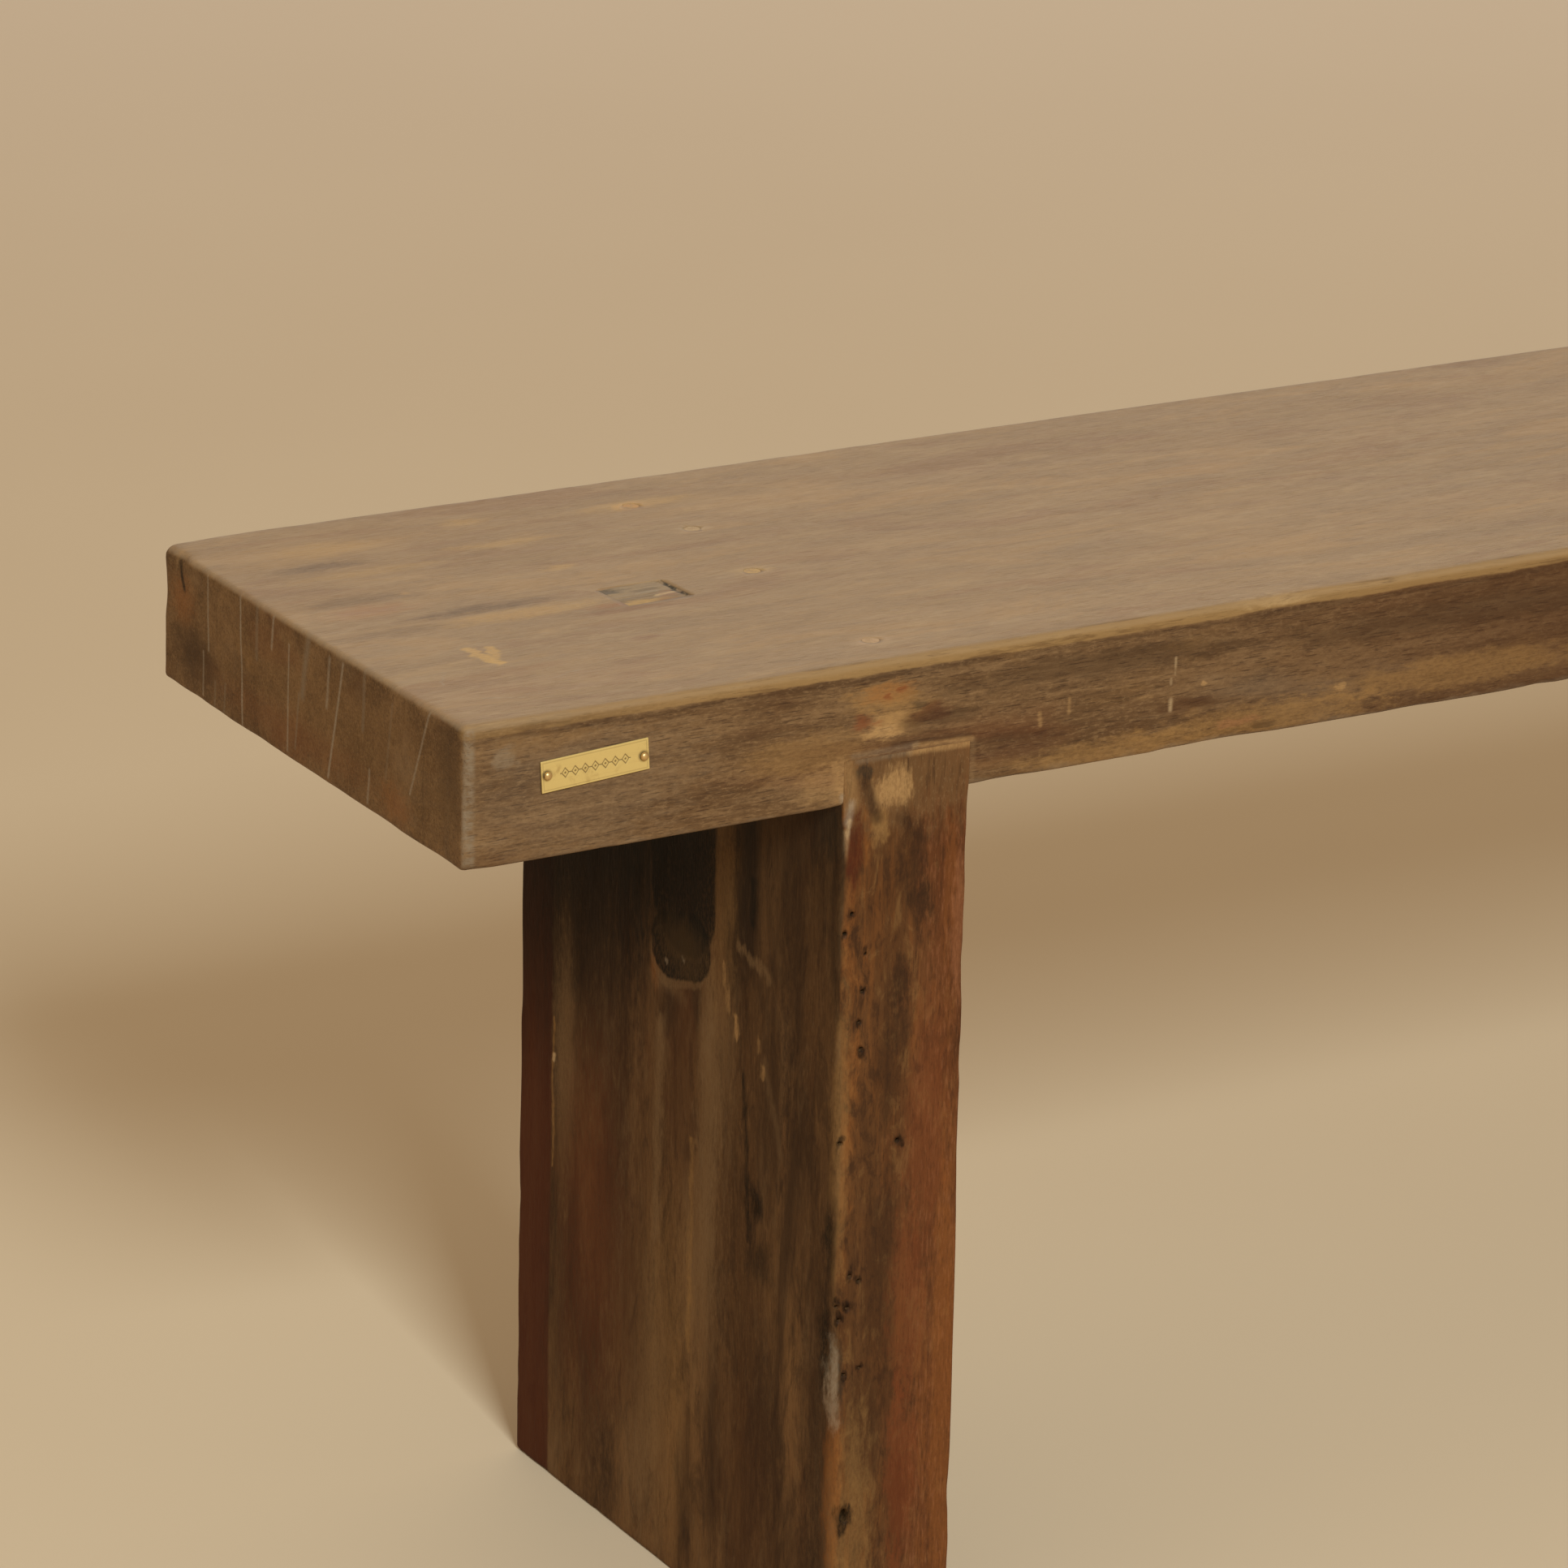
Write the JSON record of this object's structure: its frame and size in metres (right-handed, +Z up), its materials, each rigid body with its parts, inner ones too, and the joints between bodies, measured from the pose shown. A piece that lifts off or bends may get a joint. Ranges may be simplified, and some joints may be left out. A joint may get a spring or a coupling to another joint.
{
  "type": "backless bench",
  "caption": "Low backless bench: a thick plank seat let down over upright slab legs of the same depth, with screws driven through the seat into the legs.",
  "frame": {"origin": "on the floor under the middle of the seat, halfway along its length and halfway between its front and back faces", "axes": "+X runs along the seat to the right as seen from the front, +Y from the front face with the brass plate to the back face, +Z up"},
  "size_m": [1.6, 0.2745, 0.45],
  "materials": {
    "seat_wood": "worn, planed by hand, low sheen",
    "leg_wood": "worn, dark, low sheen",
    "patch_wood": "worn, matt, greyer than the seat",
    "wood_filler": "dried tinted filler, matt",
    "screw_steel": "zinc plated",
    "plate_brass": "rolled sheet, lightly tarnished",
    "pin_brass": "tarnished round head"
  },
  "bodies": {
    "root": {"seat_plank": "seat_wood", "leg_left": "leg_wood", "leg_right": "leg_wood", "repair_patch": "patch_wood", "name_plate": "plate_brass", "plate_pin_left": "pin_brass", "plate_pin_right": "pin_brass", "seat_screw_left_1": "screw_steel", "seat_screw_left_2": "screw_steel", "seat_screw_left_3": "screw_steel", "seat_screw_left_4": "screw_steel", "seat_screw_right_1": "screw_steel", "seat_screw_right_2": "screw_steel", "seat_screw_right_3": "screw_steel", "seat_screw_right_4": "screw_steel", "filler_plug_left_1": "wood_filler", "filler_plug_left_2": "wood_filler", "filler_plug_left_3": "wood_filler", "filler_plug_left_4": "wood_filler", "filler_plug_right_1": "wood_filler", "filler_plug_right_2": "wood_filler", "filler_plug_right_3": "wood_filler", "filler_plug_right_4": "wood_filler"}
  },
  "joints": []
}
